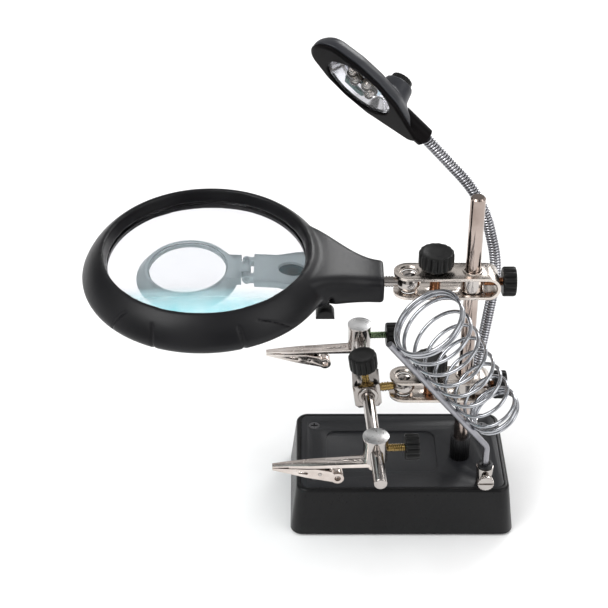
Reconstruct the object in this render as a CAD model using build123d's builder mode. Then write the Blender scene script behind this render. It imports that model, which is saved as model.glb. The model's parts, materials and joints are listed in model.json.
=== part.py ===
"""Bench magnifier with helping hands: a weighted base with a pole, a ring magnifier, two clips on a
cross rod, a coil holder for a soldering iron and a gooseneck lamp.

Frame: origin at the centre of the base's footprint on the surface it stands on, +X towards the pole's
side of the base, +Y towards the back, +Z up. Millimetres.
"""
from build123d import *
from math import cos, pi, radians, sin
import os

os.makedirs("parts", exist_ok=True)

# ---------------------------------------------------------------- driving dimensions
running_gap = 0.05          # radial clearance of a shaft that turns or slides in its bore
loose_gap = 0.3             # clearance between pieces that only pass each other

# base
base_width = 110.0
base_depth = 67.0
base_height = 27.0
base_draft = 3.0            # how far each side leans in over the height
base_corner = 6.0
base_wall = 2.4
pad_thickness = 1.2
cover_thickness = 2.0
plate_thickness = 1.6       # moulded plate let into the top
plate_margin = 2.3
plate_gap = 0.25
screw_corner_x = 43.0
screw_corner_y = 20.0
recess_x = (-37.0, 18.0)
recess_y = (-16.4, 15.4)
recess_depth = 0.8

# pole
pole_x = 29.4
pole_y = -4.0
pole_radius = 3.5
pole_top = 176.0
pole_foot = 18.5
collar_top = 40.0

# clamp brackets on the pole, measured from the ball they grip
upper_height = 131.0
lower_height = 71.5
bracket_width = 14.0
bracket_half = 5.8          # outer half height
bracket_sheet = 1.4
bracket_end_x = 42.0        # outside of the rounded fold
ball_radius = 5.5
bracket_screw_x = 12.3

# magnifier
lens_roll = 4.5             # the ring leans towards the front by this much
ring_x = -92.8
ring_glass_height = 12.0    # glass plane above the handle's axis
glass_radius = 45.0         # clear radius of the large lens
rim_radius = 46.8
rim_height = 19.4
skirt_radius = 56.5
skirt_low = 2.4             # lower edge of the skirt above the handle's axis
handle_end_x = -11.5
small_lens_x = -101.5
small_lens_radius = 17.0
small_hinge_x = -75.0
switch_x = -38.7

# cross rod and clips
fitting_reach = 17.9         # from the ball's centre to the rod's axis
fitting_tilt = 8.0          # the stud and its fitting dip by this much towards the rod
rod_yaw = 3.0               # the rod's back end swings this much towards -X
rod_radius = 3.0
rod_front = -71.0           # ends of the rod, measured along it from the fitting
rod_back = 50.6
clip_places = {"rear": 44.6, "front": -45.4}
block_radius = 5.75
clip_reach = 47.7

# soldering iron holder
socket_x = 39.5
socket_y = -25.2
holder_rod_radius = 1.55
holder_bend_height = 50.0
holder_length = 89.0
holder_heading = 18.0       # how far the sloping rod turns towards the front, degrees
holder_slope = 54.0         # its rise above level, degrees
coil_wire = 0.88            # wire radius

# gooseneck and lamp
hose_y = 22.0
hose_radius = 2.7
hose_gap = 0.9              # gap at each place where the hose may bend


def write_piece(piece, name):
    """Label a finished piece and write it to its own STEP file."""
    piece.label = name
    export_step(piece, f"parts/{name}.step")


def level(height):
    """Horizontal plane at a height."""
    return Plane.XY.offset(height)


def upright(y):
    """Plane across the depth at y: local x is X, local y is Z, its normal points to the front."""
    return Plane.XZ.offset(-y)


def sideways(x, y, z):
    """Plane across the width at a point: local x is Y, local y is Z, its normal points to +X."""
    return Plane(origin=(x, y, z), x_dir=(0, 1, 0), z_dir=(1, 0, 0))


# ---------------------------------------------------------------- base
roof_underside = base_height - plate_thickness - 2.8
cover_top = pad_thickness + cover_thickness
plate_width = base_width - 2 * base_draft - 2 * plate_margin
plate_depth = base_depth - 2 * base_draft - 2 * plate_margin
cover_boss_x = 46.5
cover_boss_y = 25.5
gland_x = 35.4
screw_places = [(-screw_corner_x, screw_corner_y), (-screw_corner_x, -screw_corner_y),
                (screw_corner_x, screw_corner_y)]
jack_x = -32.0
jack_height = 14.0
bay_x = -18.0
bay_width = 52.0
bay_depth = 38.0


def base_outline(height, inset):
    """Rounded rectangle of the leaning side walls at a height, moved in by inset."""
    lean = 2 * base_draft * (height - pad_thickness) / (base_height - pad_thickness)
    with BuildSketch(level(height)) as outline:
        RectangleRounded(base_width - lean - 2 * inset, base_depth - lean - 2 * inset,
                         base_corner - min(inset, base_corner - 1.5))
    return outline.sketch


with BuildPart() as base_shell:
    add(base_outline(pad_thickness, 0))
    add(base_outline(base_height, 0))
    loft(ruled=True)
    fillet(edges().group_by(Axis.Z)[-1], 1.7)
    add(base_outline(pad_thickness, base_wall))
    add(base_outline(roof_underside, base_wall))
    loft(ruled=True, mode=Mode.SUBTRACT)
    with BuildSketch(level(cover_top + 0.2)):
        with GridLocations(2 * cover_boss_x, 2 * cover_boss_y, 2, 2):
            Circle(3.2)
    extrude(amount=roof_underside - cover_top)
    with BuildSketch(level(base_height)):
        RectangleRounded(plate_width + 2 * plate_gap, plate_depth + 2 * plate_gap, 4.2)
    extrude(amount=-plate_thickness, mode=Mode.SUBTRACT)
    with BuildSketch(level(base_height)):
        with Locations((pole_x, pole_y)):
            Circle(pole_radius + running_gap)
        with Locations((socket_x, socket_y)):
            Circle(2.6)
        with Locations((gland_x, hose_y)):
            Circle(3.1)
        with Locations(*screw_places):
            Circle(1.45)
    extrude(amount=-12, mode=Mode.SUBTRACT)
    with BuildSketch(level(pad_thickness)):
        with GridLocations(2 * cover_boss_x, 2 * cover_boss_y, 2, 2):
            Circle(1.45)
    extrude(amount=14, mode=Mode.SUBTRACT)
    with BuildSketch(upright(base_depth / 2 + 1)):
        with Locations((jack_x, jack_height)):
            Circle(4.1)
    extrude(amount=8, mode=Mode.SUBTRACT)
write_piece(base_shell.part, "base_shell")

with BuildPart() as base_top_plate:
    with BuildSketch(level(base_height - plate_thickness)):
        RectangleRounded(plate_width, plate_depth, 4)
    extrude(amount=plate_thickness)
    with BuildSketch(level(base_height)):
        with Locations((sum(recess_x) / 2, sum(recess_y) / 2)):
            RectangleRounded(recess_x[1] - recess_x[0], recess_y[1] - recess_y[0], 5)
    extrude(amount=-recess_depth, mode=Mode.SUBTRACT)
    with BuildSketch(level(base_height)):
        with Locations((pole_x, pole_y)):
            Circle(pole_radius + 0.15)
        with Locations((socket_x, socket_y)):
            Circle(2.6)
        with Locations((gland_x, hose_y)):
            Circle(3.1)
        with Locations(*screw_places):
            Circle(3.0)
    extrude(amount=-plate_thickness, mode=Mode.SUBTRACT)
write_piece(base_top_plate.part, "base_top_plate")

# three screws through the top plate and four through the bottom cover
with BuildPart() as base_screws:
    for x, y in screw_places:
        with BuildSketch(level(base_height - 0.1)):
            with Locations((x, y)):
                Circle(2.85)
        extrude(amount=-(plate_thickness - 0.15))
        with BuildSketch(level(base_height - plate_thickness + 0.1)):
            with Locations((x, y)):
                Circle(1.4)
        extrude(amount=-8)
    with BuildSketch(level(base_height)):
        with Locations(*screw_places):
            Rectangle(3.6, 0.8)
            Rectangle(0.8, 3.6)
    extrude(amount=-1.0, mode=Mode.SUBTRACT)
    with BuildSketch(level(pad_thickness + 0.1)):
        with GridLocations(2 * cover_boss_x, 2 * cover_boss_y, 2, 2):
            Circle(2.4)
    extrude(amount=1.2)
    with BuildSketch(level(pad_thickness + 1.0)):
        with GridLocations(2 * cover_boss_x, 2 * cover_boss_y, 2, 2):
            Circle(1.4)
    extrude(amount=9)
write_piece(base_screws.part, "base_screws")

ballast_x = (12.0, 48.5)
ballast_y = 26.0
with BuildPart() as ballast_weight:
    with BuildSketch(level(cover_top + 0.6)):
        with Locations((sum(ballast_x) / 2, 0)):
            Rectangle(ballast_x[1] - ballast_x[0], 2 * ballast_y)
    extrude(amount=13.6)
    chamfer(edges().filter_by(Axis.Z), 9)
    fillet(edges().group_by(Axis.Z)[-1], 1)
write_piece(ballast_weight.part, "ballast_weight")

with BuildPart() as bottom_cover:
    with BuildSketch(level(pad_thickness)):
        RectangleRounded(base_width - 2 * base_wall - 1.2, base_depth - 2 * base_wall - 1.2, 3)
        with Locations((bay_x, 0)):
            Rectangle(bay_width + 2, bay_depth + 2, mode=Mode.SUBTRACT)
        with GridLocations(2 * cover_boss_x, 2 * cover_boss_y, 2, 2):
            Circle(1.6, mode=Mode.SUBTRACT)
    extrude(amount=cover_thickness)
    with BuildSketch(level(pad_thickness)):
        with GridLocations(2 * cover_boss_x, 2 * cover_boss_y, 2, 2):
            Circle(2.6)
    extrude(amount=1.4, mode=Mode.SUBTRACT)
write_piece(bottom_cover.part, "bottom_cover")

with BuildPart() as battery_door:
    with BuildSketch(level(pad_thickness)):
        with Locations((bay_x, 0)):
            RectangleRounded(bay_width + 1.2, bay_depth + 1.2, 1)
    extrude(amount=cover_thickness - 0.1)
    with BuildSketch(level(pad_thickness)):
        with Locations((bay_x + bay_width / 2 - 5, 0)):
            SlotOverall(14, 3, rotation=90)
    extrude(amount=0.8, mode=Mode.SUBTRACT)
write_piece(battery_door.part, "battery_door")

holder_floor = cover_top + 0.4
holder_roof = 16.0
with BuildPart() as battery_holder:
    with BuildSketch(level(holder_floor)):
        with Locations((bay_x, 0)):
            Rectangle(bay_width, bay_depth)
    extrude(amount=holder_roof - holder_floor)
    with BuildSketch(level(holder_floor)):
        with Locations((bay_x, 0)):
            Rectangle(bay_width - 3, bay_depth - 3)
    extrude(amount=holder_roof - holder_floor - 1.5, mode=Mode.SUBTRACT)
write_piece(battery_holder.part, "battery_holder")

# spring and plate contacts for the cells, which lie side by side along X
cell_pitch = 11.6
with BuildPart() as battery_contacts:
    for side in (-1, 1):
        contact_x = bay_x + side * (bay_width / 2 - 1.5 - 0.3)
        with BuildSketch(sideways(contact_x, 0, 9.2)):
            with GridLocations(cell_pitch, 1, 3, 1):
                RectangleRounded(8, 8, 1)
        extrude(amount=-side * 0.4)
        with BuildSketch(sideways(contact_x - side * 0.4, 0, 9.2)):
            with GridLocations(cell_pitch, 1, 3, 1):
                Circle(2.2)
        extrude(amount=-side * 1.2, taper=25)
write_piece(battery_contacts.part, "battery_contacts")

with BuildPart() as non_slip_pad:
    with BuildSketch(level(0)):
        RectangleRounded(base_width - 3, base_depth - 3, 5)
        RectangleRounded(base_width - 17, base_depth - 17, 4, mode=Mode.SUBTRACT)
    extrude(amount=pad_thickness - 0.02)
write_piece(non_slip_pad.part, "non_slip_pad")

# barrel jack for the mains adapter, let into the back wall
with BuildPart() as dc_jack:
    with BuildSketch(upright(base_depth / 2 - 0.9)):
        with Locations((jack_x, jack_height)):
            Circle(4.0)
    extrude(amount=5)
    with BuildSketch(upright(base_depth / 2 - 5.4)):
        with Locations((jack_x, jack_height)):
            Rectangle(9.5, 10.5)
    extrude(amount=6.5)
    with BuildSketch(upright(base_depth / 2 - 0.9)):
        with Locations((jack_x, jack_height)):
            Circle(2.8)
    extrude(amount=9.5, mode=Mode.SUBTRACT)
    with BuildSketch(upright(base_depth / 2 - 2.4)):
        with Locations((jack_x, jack_height)):
            Circle(1.0)
    extrude(amount=8.2)
write_piece(dc_jack.part, "dc_jack")

# ---------------------------------------------------------------- pole and its collar
with BuildPart() as pole:
    with BuildSketch(level(pole_foot)):
        with Locations((pole_x, pole_y)):
            Circle(pole_radius)
    extrude(amount=pole_top - pole_foot)
    chamfer(edges().group_by(Axis.Z)[-1], 0.7)
write_piece(pole.part, "pole")

with BuildPart() as pole_collar:
    with BuildSketch(level(base_height)):
        with Locations((pole_x, pole_y)):
            Circle(4.9)
        with Locations((pole_x, pole_y)):
            with PolarLocations(5.0, 22):
                Circle(0.32, mode=Mode.SUBTRACT)
        with Locations((pole_x, pole_y)):
            Circle(pole_radius + 0.02, mode=Mode.SUBTRACT)
    extrude(amount=collar_top - base_height)
write_piece(pole_collar.part, "pole_collar")


# ---------------------------------------------------------------- knobs
def fluted_outline(plane, radius, flutes):
    """Circle with evenly spaced scallops round its edge."""
    with BuildSketch(plane) as outline:
        Circle(radius)
        with PolarLocations(radius + 0.35, flutes):
            Circle(radius * 0.13, mode=Mode.SUBTRACT)
    return outline.sketch


def thumb_screw(tip, direction, screw_radius, screw_length, knob_radius, knob_height, hub=0.0):
    """Screw that starts at its tip and runs along direction, with a fluted knob moulded on its end."""
    along = Plane(origin=tip, z_dir=direction)
    with BuildPart() as screw:
        with BuildSketch(along):
            Circle(screw_radius)
        extrude(amount=screw_length + 0.5)
        if hub:
            with BuildSketch(along.offset(screw_length)):
                Circle(knob_radius * 0.62)
            extrude(amount=hub + 0.2)
        extrude(fluted_outline(along.offset(screw_length + hub), knob_radius, 14), amount=knob_height)
    return screw.part


# ---------------------------------------------------------------- clamp brackets on the pole
bush_radius = 5.2
bush_half = 4.1
plate_inside = bracket_half - bracket_sheet
side_knob_x = 43.3


def clamp_bracket(height):
    """Strip folded over at the pole's end, gripping the ball between its two free ends."""
    fold_x = bracket_end_x - bracket_half
    end_x = -bracket_width / 2
    with BuildPart() as bracket:
        with BuildSketch(upright(pole_y)):
            for half, mode in ((bracket_half, Mode.ADD), (plate_inside, Mode.SUBTRACT)):
                with Locations(((fold_x + end_x) / 2, height)):
                    Rectangle(fold_x - end_x, 2 * half, mode=mode)
                with Locations((fold_x, height)):
                    Circle(half, mode=mode)
        extrude(amount=bracket_width / 2, both=True)
        with BuildSketch(level(height)):
            with Locations((0, pole_y)):
                Circle(bracket_width / 2)
            with Locations((bracket_end_x / 2, pole_y)):
                Rectangle(bracket_end_x, bracket_width)
        extrude(amount=bracket_half + 1, both=True, mode=Mode.INTERSECT)
        for side in (-1, 1):
            with BuildSketch(level(height + side * (bracket_half - 0.1))):
                with Locations((pole_x, pole_y)):
                    Circle(pole_radius + 1.3)
            extrude(amount=side * 1.0)
            with BuildSketch(level(height + side * bracket_half)):
                with Locations((0, pole_y)):
                    Circle(4.7)
            extrude(amount=-side * 0.75, taper=40, mode=Mode.SUBTRACT)
        with BuildSketch(level(height)):
            with Locations((0, pole_y)):
                Circle(3.6)
            with Locations((bracket_screw_x, pole_y)):
                Circle(2.7)
            with Locations((pole_x, pole_y)):
                Circle(pole_radius + loose_gap)
        extrude(amount=bracket_half + 2, both=True, mode=Mode.SUBTRACT)
        with BuildSketch(sideways(pole_x + bush_radius, pole_y, height)):
            Circle(2.05)
        extrude(amount=12, mode=Mode.SUBTRACT)
    return bracket.part


def pole_bush(height):
    """Sleeve that slides on the pole and carries the bracket between its plates."""
    with BuildPart() as bush:
        with BuildSketch(level(height - bush_half)):
            with Locations((pole_x, pole_y)):
                Circle(bush_radius)
                Circle(pole_radius + running_gap, mode=Mode.SUBTRACT)
        extrude(amount=2 * bush_half)
        chamfer(edges().filter_by(GeomType.CIRCLE).sort_by(SortBy.RADIUS)[-2:], 0.5)
    return bush.part


def clamp_ball(height):
    """Ball gripped in the countersunk holes of the two plates."""
    centre = Plane(origin=(0, pole_y, height), x_dir=(1, 0, 0), z_dir=(0, -1, 0))
    with BuildPart() as ball:
        with BuildSketch(centre):
            with BuildLine():
                CenterArc((0, 0), ball_radius, -90, 180)
                Line((0, ball_radius), (0, -ball_radius))
            make_face()
        revolve(axis=Axis((0, pole_y, height), (0, 0, 1)))
    return ball.part


def ball_stud(height, stud_radius, stud_end, tilt):
    """Ribbed stud, dipping by tilt degrees, whose cupped end rides on the ball."""
    root = Plane(origin=(0, pole_y, height), z_dir=(-cos(radians(tilt)), 0, -sin(radians(tilt))))
    with BuildPart() as stud:
        with BuildSketch(root):
            Circle(stud_radius)
        extrude(amount=stud_end)
        for rib in range(3):
            with BuildSketch(root.offset(7.3 + 1.3 * rib)):
                Circle(stud_radius + 0.35)
            extrude(amount=0.7)
        with BuildSketch(Plane(origin=(0, pole_y, height), x_dir=(1, 0, 0), z_dir=(0, -1, 0))):
            with BuildLine():
                CenterArc((0, 0), ball_radius + running_gap, -90, 180)
                Line((0, ball_radius + running_gap), (0, -ball_radius - running_gap))
            make_face()
        revolve(axis=Axis((0, pole_y, height), (0, 0, 1)), mode=Mode.SUBTRACT)
    return stud.part


stud_sizes = {"upper": (2.3, 22.0, 0.0), "lower": (1.9, 12.9, fitting_tilt)}
for level_name, height in (("upper", upper_height), ("lower", lower_height)):
    write_piece(pole_bush(height), f"{level_name}_pole_bush")
    write_piece(clamp_bracket(height), f"{level_name}_bracket")
    write_piece(thumb_screw((pole_x + bush_radius + 0.2, pole_y, height), (1, 0, 0), 2.0,
                            side_knob_x - pole_x - bush_radius - 0.2, 7.0, 6.2),
                f"{level_name}_side_knob")
    write_piece(thumb_screw((bracket_screw_x, pole_y, height - 7.2), (0, 0, 1), 2.5,
                            7.2 + bracket_half + 0.5, 8.25, 7.6, hub=2.4),
                f"{level_name}_ball_knob")
    write_piece(clamp_ball(height), f"{level_name}_ball")
    write_piece(ball_stud(height, *stud_sizes[level_name]), f"{level_name}_stud")

# ---------------------------------------------------------------- magnifier
lean = radians(lens_roll)
head_plane = Plane(origin=(0, pole_y, upper_height), x_dir=(1, 0, 0), z_dir=(0, -sin(lean), cos(lean)))
ring_plane = Plane(origin=head_plane.from_local_coords((ring_x, 0, 0)), x_dir=(1, 0, 0),
                   z_dir=head_plane.z_dir)
ring_section = Plane(origin=ring_plane.origin, x_dir=(1, 0, 0),
                     z_dir=(0, -cos(lean), -sin(lean)))   # local x outwards, local y along the ring's axis
ring_axis = Axis(ring_plane.origin, ring_plane.z_dir)


def head_slice(x):
    """Plane across the handle at x: local x to the back, local y along the ring's axis."""
    return Plane(origin=head_plane.from_local_coords((x, 0, 0)), x_dir=(0, cos(lean), sin(lean)),
                 z_dir=(1, 0, 0))


# x, width, low and high of the handle where it leaves the ring and at its end
handle_sections = [(-48.0, 52.0, 1.0, 16.5), (-36.0, 37.0, -2.0, 14.5), (-24.0, 25.0, -5.2, 9.8),
                   (handle_end_x, 20.0, -7.0, 7.0)]
lens_edge = 2.4
lens_seat = ring_glass_height - lens_edge / 2
with BuildPart() as magnifier_frame:
    for x, width, low, high in handle_sections:
        with BuildSketch(head_slice(x)):
            with Locations((0, (low + high) / 2)):
                RectangleRounded(width, high - low, 4.6)
    loft()
    fillet(faces().sort_by(Axis.X)[-1].edges(), 1.5)
    with BuildSketch(ring_section):
        with BuildLine():
            Polyline((skirt_radius - 6.5, skirt_low), (skirt_radius - 3.2, skirt_low))
            ThreePointArc((skirt_radius - 3.2, skirt_low), (skirt_radius - 0.4, 4.0),
                          (skirt_radius + 0.6, 7.5))
            ThreePointArc((skirt_radius + 0.6, 7.5), (53.0, 14.6), (rim_radius + 1.2, rim_height))
            Polyline((rim_radius + 1.2, rim_height), (rim_radius, rim_height),
                     (glass_radius, ring_glass_height + 1.6), (glass_radius, lens_seat),
                     (skirt_radius - 7.0, lens_seat - 2), (skirt_radius - 6.5, skirt_low))
        make_face()
    revolve(axis=ring_axis)
    # bore of the skirt, cut again where the handle reached into it
    with BuildSketch(ring_plane.offset(-9)):
        Circle(skirt_radius - 6.8)
    extrude(amount=lens_seat + 7.5, mode=Mode.SUBTRACT)
    with BuildSketch(ring_plane.offset(ring_glass_height)):
        Circle(glass_radius)
    extrude(amount=12, mode=Mode.SUBTRACT)
    # seat of the large lens, open to below
    with BuildSketch(ring_plane.offset(lens_seat - 4)):
        Circle(glass_radius + 1.5)
    extrude(amount=lens_edge + 4, mode=Mode.SUBTRACT)
    # bore for the stud
    with BuildSketch(head_slice(handle_end_x + 1)):
        Circle(2.3 + running_gap)
    extrude(amount=-12, mode=Mode.SUBTRACT)
    # slot of the switch under the neck
    with BuildSketch(head_plane.offset(-9)):
        with Locations((switch_x - 1.3, -17.0)):
            Rectangle(10, 3.2)
    extrude(amount=13, mode=Mode.SUBTRACT)
write_piece(magnifier_frame.part, "magnifier_frame")

with BuildPart() as lens_retainer:
    with BuildSketch(ring_plane.offset(lens_seat - 2.6)):
        Circle(glass_radius + 1.4)
        Circle(glass_radius, mode=Mode.SUBTRACT)
    extrude(amount=2.5)
write_piece(lens_retainer.part, "lens_retainer")

# glass bulges by this much on each side between its edge and its middle
bulge = 2.3
lens_outer = glass_radius + 1.35
with BuildPart() as main_lens:
    with BuildSketch(ring_section):
        with BuildLine():
            top = ring_glass_height + lens_edge / 2 - 0.05
            low = ring_glass_height - lens_edge / 2 + 0.05
            dome = Spline((0, top + bulge), (lens_outer * 0.5, top + bulge * 0.75), (lens_outer - 1.6, top),
                          tangents=((1, 0), (1, -0.1)))
            Polyline(dome @ 1, (lens_outer, top), (lens_outer, low), (lens_outer - 1.6, low))
            belly = Spline((lens_outer - 1.6, low), (lens_outer * 0.5, low - bulge * 0.75), (0, low - bulge),
                           tangents=((-1, -0.1), (-1, 0)))
            Line(belly @ 1, dome @ 0)
        make_face()
    revolve(axis=ring_axis)
write_piece(main_lens.part, "main_lens")

# translucent arm under the glass that holds the lamp of the magnifier and the small lens's hinge
arm_low = 3.2
arm_high = 6.2
hinge_z = 4.7
with BuildPart() as led_arm:
    with BuildSketch(head_plane.offset(arm_low)):
        with BuildLine():
            Polyline((small_hinge_x + 3.4, -9.5), (-61, -9.5), (-52, -12.5), (-45.6, -13.5), (-45.6, 13.5),
                     (-52, 12.5), (-61, 9.5), (small_hinge_x + 3.4, 9.5), close=True)
        make_face()
    extrude(amount=arm_high - arm_low)
    with BuildSketch(head_plane.offset(arm_high - 1.4)):
        with Locations((-54.5, 0)):
            Ellipse(6.2, 4.8)
    extrude(amount=2, mode=Mode.SUBTRACT)
    # two knuckles that take the small frame's pin
    for y in (-7.2, 4.2):
        with BuildSketch(Plane(origin=head_plane.from_local_coords((small_hinge_x, y, hinge_z)),
                               x_dir=(1, 0, 0), z_dir=(0, cos(lean), sin(lean)))):
            Circle(1.9)
            with Locations((2.4, 0)):
                Rectangle(3.2, 3.0)
            Circle(0.9 + running_gap, mode=Mode.SUBTRACT)
        extrude(amount=3)
write_piece(led_arm.part, "led_arm")

with BuildPart() as auxiliary_frame:
    for height, radius in ((arm_low - 1.4, small_lens_radius + 6.0), (arm_high, small_lens_radius + 2.4)):
        with BuildSketch(head_plane.offset(height)):
            with Locations((small_lens_x, 0)):
                Circle(radius)
    loft()
    with BuildSketch(head_plane.offset(arm_low)):
        with Locations(((small_lens_x + 12 + small_hinge_x - 2.4) / 2, 0)):
            Rectangle(small_hinge_x - 2.4 - small_lens_x - 12, 17)
    extrude(amount=arm_high - arm_low)
    with BuildSketch(head_plane.offset(arm_low - 2)):
        with Locations((small_lens_x, 0)):
            Circle(small_lens_radius)
    extrude(amount=arm_high - arm_low + 4, mode=Mode.SUBTRACT)
    # seat of the small lens
    with BuildSketch(head_plane.offset(arm_low + 1)):
        with Locations((small_lens_x, 0)):
            Circle(small_lens_radius + 1)
    extrude(amount=arm_high - arm_low, mode=Mode.SUBTRACT)
    # middle knuckle and pin
    with BuildSketch(Plane(origin=head_plane.from_local_coords((small_hinge_x, -3.6, hinge_z)),
                           x_dir=(1, 0, 0), z_dir=(0, cos(lean), sin(lean)))):
        Circle(1.9)
        with Locations((-2.4, 0)):
            Rectangle(3.2, 3.0)
    extrude(amount=7.2)
    with BuildSketch(Plane(origin=head_plane.from_local_coords((small_hinge_x, -7.0, hinge_z)),
                           x_dir=(1, 0, 0), z_dir=(0, cos(lean), sin(lean)))):
        Circle(0.9)
    extrude(amount=14)
write_piece(auxiliary_frame.part, "auxiliary_frame")

with BuildPart() as auxiliary_lens:
    with BuildSketch(head_plane.offset(arm_low + 1.05)):
        with Locations((small_lens_x, 0)):
            Circle(small_lens_radius + 0.9)
    extrude(amount=1.8)
    small_axis = Axis(head_plane.from_local_coords((small_lens_x, 0, 0)), head_plane.z_dir)
    with BuildSketch(Plane(origin=head_plane.from_local_coords((small_lens_x, 0, 0)), x_dir=(1, 0, 0),
                           z_dir=(0, -cos(lean), -sin(lean)))):
        with BuildLine():
            cap = ThreePointArc((-small_lens_radius + 1, arm_low + 2.8), (0, arm_low + 5.0),
                                (small_lens_radius - 1, arm_low + 2.8))
            Line(cap @ 1, cap @ 0)
        make_face()
        with Locations((-small_lens_radius, 0)):
            Rectangle(2 * small_lens_radius, 40, mode=Mode.SUBTRACT)
    revolve(axis=small_axis)
write_piece(auxiliary_lens.part, "auxiliary_lens")

# slide switch under the neck: a half-round thumb piece with a stem in the frame's slot
with BuildPart() as magnifier_switch:
    with BuildSketch(Plane(origin=head_plane.from_local_coords((switch_x, -20.6, -5.8)), x_dir=(1, 0, 0),
                           z_dir=(0, cos(lean), sin(lean)))):
        Circle(4.3)
        with Locations((0, 3)):
            Rectangle(12, 6, mode=Mode.SUBTRACT)
    extrude(amount=6.4)
    with BuildSketch(head_plane.offset(-6.0)):
        with Locations((switch_x, -17.0)):
            Rectangle(4, 2.2)
    extrude(amount=8.6)
write_piece(magnifier_switch.part, "magnifier_switch")

# ---------------------------------------------------------------- cross rod and its middle fitting
rod_bush_radius = 4.8
dip = radians(fitting_tilt)
yaw = radians(rod_yaw)
ball_centre = Vector(0, pole_y, lower_height)
fitting_plane = Plane(origin=ball_centre + Vector(-cos(dip), 0, -sin(dip)) * fitting_reach,
                      x_dir=(cos(dip), 0, sin(dip)), z_dir=(-sin(dip), 0, cos(dip)))
rod_frame = Plane(origin=fitting_plane.origin, x_dir=(cos(yaw), sin(yaw), 0), z_dir=(0, 0, 1))


def along_rod(v):
    """Plane across the rod at v along it: local x to the right, local y up, its normal to the front."""
    return Plane(origin=rod_frame.from_local_coords((0, v, 0)), x_dir=rod_frame.x_dir,
                 z_dir=-rod_frame.y_dir)


def over_rod(height, v=0.0):
    """Level plane at a height above the rod's axis, centred over the rod at v along it."""
    return Plane(origin=rod_frame.from_local_coords((0, v, height)), x_dir=rod_frame.x_dir, z_dir=(0, 0, 1))


def beside_rod(u, v):
    """Upright plane at u beside the rod and v along it, facing away from the rod's right side."""
    return Plane(origin=rod_frame.from_local_coords((u, v, 0)), x_dir=rod_frame.y_dir, z_dir=rod_frame.x_dir)


with BuildPart() as fitting_block:
    with BuildSketch(fitting_plane):
        Rectangle(13, 12.4)
    extrude(amount=6.5, both=True)
    with BuildSketch(Plane(origin=fitting_plane.origin, x_dir=fitting_plane.x_dir, z_dir=(0, -1, 0))):
        with Locations((-6.5, -6.5), (6.5, -6.5)):
            Rectangle(2.4, 2.4, rotation=45)
        with Locations((0, 6.5)):
            Rectangle(7.6, 2.6)
    extrude(amount=8, both=True, mode=Mode.SUBTRACT)
    with BuildSketch(along_rod(0)):
        Circle(rod_bush_radius + running_gap)
    extrude(amount=9, both=True, mode=Mode.SUBTRACT)
    with BuildSketch(fitting_plane):
        Circle(1.9)
    extrude(amount=8, mode=Mode.SUBTRACT)
    with BuildSketch(Plane(origin=fitting_plane.origin, z_dir=fitting_plane.x_dir)):
        Circle(1.9 + running_gap)
    extrude(amount=8, mode=Mode.SUBTRACT)
write_piece(fitting_block.part, "fitting_block")

with BuildPart() as rod_bush:
    with BuildSketch(along_rod(0)):
        Circle(rod_bush_radius)
        Circle(rod_radius + running_gap, mode=Mode.SUBTRACT)
    extrude(amount=6.9, both=True)
write_piece(rod_bush.part, "rod_bush")

with BuildPart() as cross_rod:
    with BuildSketch(along_rod(rod_back)):
        Circle(rod_radius)
    extrude(amount=rod_back - rod_front)
    chamfer(edges().filter_by(GeomType.CIRCLE), 0.5)
write_piece(cross_rod.part, "cross_rod")

fitting_screw_start = rod_bush_radius + 0.25
write_piece(thumb_screw(tuple(fitting_plane.from_local_coords((0, 0, fitting_screw_start))),
                        tuple(fitting_plane.z_dir), 1.8, 12.5 - fitting_screw_start, 6.9, 8.0),
            "fitting_knob")

# ---------------------------------------------------------------- clips
jaw_line = -8.9             # height of the line where the jaws meet, from the rod's axis
tip = -clip_reach
jaw_pivot = (tip + 22.0, jaw_line - 3.6)
block_height = (-6.0, 6.2)
cap_height = 1.1
post_radius = 2.1


def clip_block(v):
    """Round block with a cap, bored for the cross rod, with the clip's post under it."""
    with BuildPart() as block:
        with BuildSketch(over_rod(block_height[0], v)):
            Circle(block_radius)
        extrude(amount=block_height[1] - block_height[0])
        with BuildSketch(over_rod(block_height[1] - 0.2, v)):
            Circle(block_radius + 0.35)
        extrude(amount=cap_height)
        with BuildSketch(over_rod(-10.8, v)):
            Circle(post_radius)
        extrude(amount=5)
        with BuildSketch(along_rod(v)):
            Circle(rod_radius + running_gap)
        extrude(amount=8, both=True, mode=Mode.SUBTRACT)
        with BuildSketch(beside_rod(0, v)):
            Circle(1.95)
        extrude(amount=8, mode=Mode.SUBTRACT)
    return block.part


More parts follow.
